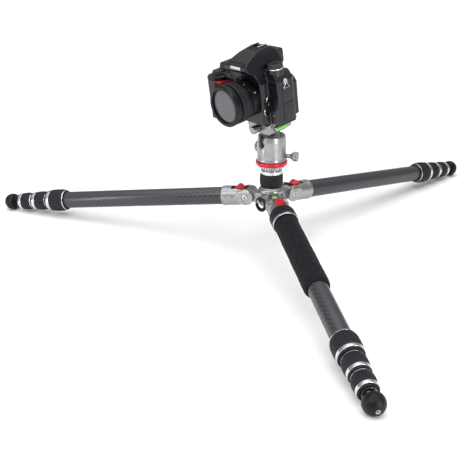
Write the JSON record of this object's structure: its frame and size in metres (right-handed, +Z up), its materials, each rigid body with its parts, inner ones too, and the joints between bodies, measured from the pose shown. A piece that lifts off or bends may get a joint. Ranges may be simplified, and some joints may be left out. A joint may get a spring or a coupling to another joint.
{
  "type": "stills camera on tripod",
  "caption": "Single-lens reflex stills camera on a ball head and a low-splayed carbon tripod with twist-lock legs.",
  "frame": {"origin": "on the floor, under the centre column's axis, with the legs splayed at their widest stop", "axes": "+Z up along the column, -Y down the foam-covered front leg, +X between the other two legs' sides, to the right as seen facing the front leg"},
  "size_m": [0.977, 0.8504, 0.3628],
  "materials": {
    "cast_magnesium": "fine bead-blasted, clear coated",
    "red_anodised": "bright red anodising",
    "carbon_tube": "carbon fibre twill under clear resin",
    "ribbed_rubber": "matt ribbed rubber",
    "foot_rubber": "matt moulded rubber",
    "foam": "matt closed-cell foam",
    "steel": "turned steel",
    "hook_steel": "black coated spring steel",
    "level_green": "clear green vial",
    "camera_black": "black textured alloy and rubber",
    "lens_black": "black satin",
    "focus_rubber": "ribbed rubber",
    "optical_glass": "coated glass",
    "mirror_glass": "front-silvered mirror",
    "sensor": "sensor cover glass"
  },
  "bodies": {
    "root": {"spider": "cast_magnesium", "leg_pivot_bolts": "steel", "spider_level": "level_green"},
    "column": {"centre_column": "cast_magnesium", "head_base": "cast_magnesium", "pan_ring": "red_anodised"},
    "column_collar": {"column_collar": "ribbed_rubber"},
    "gear_hook": {"gear_hook": "hook_steel"},
    "front_leg": {"front_shoulder": "cast_magnesium", "front_tube_1": "carbon_tube", "foam_grip": "foam"},
    "front_catch": {"front_angle_catch": "red_anodised"},
    "grip_collar": {"grip_collar": "ribbed_rubber"},
    "front_lock_1": {"front_lock_1": "ribbed_rubber"},
    "front_section_2": {"front_tube_2": "carbon_tube"},
    "front_lock_2": {"front_lock_2": "ribbed_rubber"},
    "front_section_3": {"front_tube_3": "carbon_tube"},
    "front_lock_3": {"front_lock_3": "ribbed_rubber"},
    "front_section_4": {"front_tube_4": "carbon_tube", "front_foot": "foot_rubber"},
    "right_leg": {"right_shoulder": "cast_magnesium", "right_tube_1": "carbon_tube"},
    "right_catch": {"right_angle_catch": "red_anodised"},
    "right_lock_1": {"right_lock_1": "ribbed_rubber"},
    "right_section_2": {"right_tube_2": "carbon_tube"},
    "right_lock_2": {"right_lock_2": "ribbed_rubber"},
    "right_section_3": {"right_tube_3": "carbon_tube"},
    "right_lock_3": {"right_lock_3": "ribbed_rubber"},
    "right_section_4": {"right_tube_4": "carbon_tube", "right_foot": "foot_rubber"},
    "left_leg": {"left_shoulder": "cast_magnesium", "left_tube_1": "carbon_tube"},
    "left_catch": {"left_angle_catch": "red_anodised"},
    "left_lock_1": {"left_lock_1": "ribbed_rubber"},
    "left_section_2": {"left_tube_2": "carbon_tube"},
    "left_lock_2": {"left_lock_2": "ribbed_rubber"},
    "left_section_3": {"left_tube_3": "carbon_tube"},
    "left_lock_3": {"left_lock_3": "ribbed_rubber"},
    "left_section_4": {"left_tube_4": "carbon_tube", "left_foot": "foot_rubber"},
    "pan_head": {"ball_housing": "cast_magnesium"},
    "main_knob": {"main_knob": "cast_magnesium"},
    "pan_knob": {"pan_knob": "cast_magnesium"},
    "ball": {"ball_stem": "steel"},
    "clamp": {"clamp_body": "cast_magnesium", "clamp_level": "level_green"},
    "clamp_jaw": {"clamp_jaw": "cast_magnesium"},
    "clamp_knob": {"clamp_knob": "cast_magnesium"},
    "camera": {"quick_plate": "cast_magnesium", "camera_body": "camera_black", "camera_back": "camera_black", "image_sensor": "sensor", "lens_barrel": "lens_black", "lens_elements": "optical_glass"},
    "popup_flash": {"popup_flash": "camera_black"},
    "focus_ring": {"focus_ring": "focus_rubber"},
    "shutter_button": {"shutter_button": "camera_black"},
    "release_dial": {"release_dial": "camera_black"},
    "rear_command_dial": {"rear_command_dial": "camera_black"},
    "reflex_mirror": {"reflex_mirror": "mirror_glass"}
  },
  "joints": [
    {"name": "column_slide", "type": "slide", "parent": "root", "child": "column", "axis": [0, 0, 1], "range_m": [0, 0.025]},
    {"name": "column_collar_twist", "type": "hinge", "parent": "root", "child": "column_collar", "pos_m": [0, 0, 0.125], "axis": [0, 0, 1], "range_deg": [0, 120]},
    {"name": "gear_hook_swing", "type": "hinge", "parent": "root", "child": "gear_hook", "pos_m": [-0.02208, -0.01275, 0.086], "axis": [-0.866, -0.5, 0], "range_deg": [-20, 20]},
    {"name": "front_leg_fold", "type": "hinge", "parent": "root", "child": "front_leg", "pos_m": [0, -0.0445, 0.08642], "axis": [1, 0, 0], "range_deg": [0, 80]},
    {"name": "front_catch_pull", "type": "slide", "parent": "front_leg", "child": "front_catch", "axis": [0, -0.9903, -0.1392], "range_m": [0, 0.004], "stiffness_N_per_m": 400, "springref_m": -0.004},
    {"name": "grip_collar_twist", "type": "hinge", "parent": "front_leg", "child": "grip_collar", "pos_m": [0, -0.09896, 0.07877], "axis": [0, -0.9903, -0.1392], "range_deg": [0, 360]},
    {"name": "front_lock_1_twist", "type": "hinge", "parent": "front_leg", "child": "front_lock_1", "pos_m": [0, -0.44061, 0.03075], "axis": [0, -0.9903, -0.1392], "range_deg": [0, 120]},
    {"name": "front_section_2_slide", "type": "slide", "parent": "front_leg", "child": "front_section_2", "axis": [0, -0.9903, -0.1392], "range_m": [0, 0.28]},
    {"name": "front_lock_2_twist", "type": "hinge", "parent": "front_section_2", "child": "front_lock_2", "pos_m": [0, -0.47824, 0.02546], "axis": [0, -0.9903, -0.1392], "range_deg": [0, 120]},
    {"name": "front_section_3_slide", "type": "slide", "parent": "front_section_2", "child": "front_section_3", "axis": [0, -0.9903, -0.1392], "range_m": [0, 0.3]},
    {"name": "front_lock_3_twist", "type": "hinge", "parent": "front_section_3", "child": "front_lock_3", "pos_m": [0, -0.51191, 0.02073], "axis": [0, -0.9903, -0.1392], "range_deg": [0, 120]},
    {"name": "front_section_4_slide", "type": "slide", "parent": "front_section_3", "child": "front_section_4", "axis": [0, -0.9903, -0.1392], "range_m": [0, 0.32]},
    {"name": "right_leg_fold", "type": "hinge", "parent": "root", "child": "right_leg", "pos_m": [0.03854, 0.02225, 0.08642], "axis": [-0.5, 0.866, 0], "range_deg": [0, 80]},
    {"name": "right_catch_pull", "type": "slide", "parent": "right_leg", "child": "right_catch", "axis": [0.8576, 0.4951, -0.1392], "range_m": [0, 0.004], "stiffness_N_per_m": 400, "springref_m": -0.004},
    {"name": "right_lock_1_twist", "type": "hinge", "parent": "right_leg", "child": "right_lock_1", "pos_m": [0.38158, 0.2203, 0.03075], "axis": [0.8576, 0.4951, -0.1392], "range_deg": [0, 120]},
    {"name": "right_section_2_slide", "type": "slide", "parent": "right_leg", "child": "right_section_2", "axis": [0.8576, 0.4951, -0.1392], "range_m": [0, 0.28]},
    {"name": "right_lock_2_twist", "type": "hinge", "parent": "right_section_2", "child": "right_lock_2", "pos_m": [0.41417, 0.23912, 0.02546], "axis": [0.8576, 0.4951, -0.1392], "range_deg": [0, 120]},
    {"name": "right_section_3_slide", "type": "slide", "parent": "right_section_2", "child": "right_section_3", "axis": [0.8576, 0.4951, -0.1392], "range_m": [0, 0.3]},
    {"name": "right_lock_3_twist", "type": "hinge", "parent": "right_section_3", "child": "right_lock_3", "pos_m": [0.44332, 0.25595, 0.02073], "axis": [0.8576, 0.4951, -0.1392], "range_deg": [0, 120]},
    {"name": "right_section_4_slide", "type": "slide", "parent": "right_section_3", "child": "right_section_4", "axis": [0.8576, 0.4951, -0.1392], "range_m": [0, 0.32]},
    {"name": "left_leg_fold", "type": "hinge", "parent": "root", "child": "left_leg", "pos_m": [-0.03854, 0.02225, 0.08642], "axis": [-0.5, -0.866, 0], "range_deg": [0, 80]},
    {"name": "left_catch_pull", "type": "slide", "parent": "left_leg", "child": "left_catch", "axis": [-0.8576, 0.4951, -0.1392], "range_m": [0, 0.004], "stiffness_N_per_m": 400, "springref_m": -0.004},
    {"name": "left_lock_1_twist", "type": "hinge", "parent": "left_leg", "child": "left_lock_1", "pos_m": [-0.38158, 0.2203, 0.03075], "axis": [-0.8576, 0.4951, -0.1392], "range_deg": [0, 120]},
    {"name": "left_section_2_slide", "type": "slide", "parent": "left_leg", "child": "left_section_2", "axis": [-0.8576, 0.4951, -0.1392], "range_m": [0, 0.28]},
    {"name": "left_lock_2_twist", "type": "hinge", "parent": "left_section_2", "child": "left_lock_2", "pos_m": [-0.41417, 0.23912, 0.02546], "axis": [-0.8576, 0.4951, -0.1392], "range_deg": [0, 120]},
    {"name": "left_section_3_slide", "type": "slide", "parent": "left_section_2", "child": "left_section_3", "axis": [-0.8576, 0.4951, -0.1392], "range_m": [0, 0.3]},
    {"name": "left_lock_3_twist", "type": "hinge", "parent": "left_section_3", "child": "left_lock_3", "pos_m": [-0.44332, 0.25595, 0.02073], "axis": [-0.8576, 0.4951, -0.1392], "range_deg": [0, 120]},
    {"name": "left_section_4_slide", "type": "slide", "parent": "left_section_3", "child": "left_section_4", "axis": [-0.8576, 0.4951, -0.1392], "range_m": [0, 0.32]},
    {"name": "pan_turn", "type": "hinge", "parent": "column", "child": "pan_head", "pos_m": [0, 0, 0.16], "axis": [0, 0, 1], "continuous": true},
    {"name": "main_knob_turn", "type": "hinge", "parent": "pan_head", "child": "main_knob", "pos_m": [-0.01035, 0.03864, 0.1715], "axis": [-0.2588, 0.9659, 0], "range_deg": [0, 270]},
    {"name": "pan_knob_turn", "type": "hinge", "parent": "pan_head", "child": "pan_knob", "pos_m": [0.03625, -0.0169, 0.166], "axis": [0.9063, -0.4226, 0], "range_deg": [0, 270]},
    {"name": "ball_tilt", "type": "hinge", "parent": "pan_head", "child": "ball", "pos_m": [0, 0, 0.191], "axis": [0.5, -0.866, 0], "range_deg": [-38.5, 79.5]},
    {"name": "ball_swivel", "type": "hinge", "parent": "ball", "child": "clamp", "pos_m": [0, 0, 0.191], "axis": [-0.128, -0.0739, 0.989], "continuous": true},
    {"name": "clamp_jaw_slide", "type": "slide", "parent": "clamp", "child": "clamp_jaw", "axis": [-0.8565, -0.4945, -0.1478], "range_m": [0, 0.006]},
    {"name": "clamp_knob_turn", "type": "hinge", "parent": "clamp_jaw", "child": "clamp_knob", "pos_m": [-0.03441, -0.01986, 0.22005], "axis": [-0.8565, -0.4945, -0.1478], "range_deg": [0, 1080]},
    {"name": "plate_slide", "type": "slide", "parent": "clamp", "child": "camera", "axis": [0.5, -0.866, 0], "range_m": [-0.012, 0.012]},
    {"name": "flash_raise", "type": "hinge", "parent": "camera", "child": "popup_flash", "pos_m": [-0.0376, -0.01247, 0.35588], "axis": [-0.5, 0.866, 0], "range_deg": [0, 55]},
    {"name": "focus_ring_turn", "type": "hinge", "parent": "camera", "child": "focus_ring", "pos_m": [-0.07402, -0.0335, 0.27194], "axis": [-0.8565, -0.4945, -0.1478], "range_deg": [0, 120]},
    {"name": "shutter_press", "type": "slide", "parent": "camera", "child": "shutter_button", "axis": [0.128, 0.0739, -0.989], "range_m": [0, 0.0015], "stiffness_N_per_m": 600, "springref_m": -0.0006},
    {"name": "release_dial_turn", "type": "hinge", "parent": "camera", "child": "release_dial", "pos_m": [-0.00522, -0.03996, 0.32788], "axis": [-0.128, -0.0739, 0.989], "range_deg": [0, 270]},
    {"name": "rear_dial_turn", "type": "hinge", "parent": "camera", "child": "rear_command_dial", "pos_m": [-0.02852, 0.06436, 0.30334], "axis": [-0.128, -0.0739, 0.989], "continuous": true},
    {"name": "mirror_flip", "type": "hinge", "parent": "camera", "child": "reflex_mirror", "pos_m": [-0.01281, 0.00184, 0.29969], "axis": [-0.5, 0.866, 0], "range_deg": [0, 45]}
  ],
  "couplings": [
    {"joint": "clamp_knob_turn", "follows": "clamp_jaw_slide", "rad_per_m": 3141.6}
  ]
}
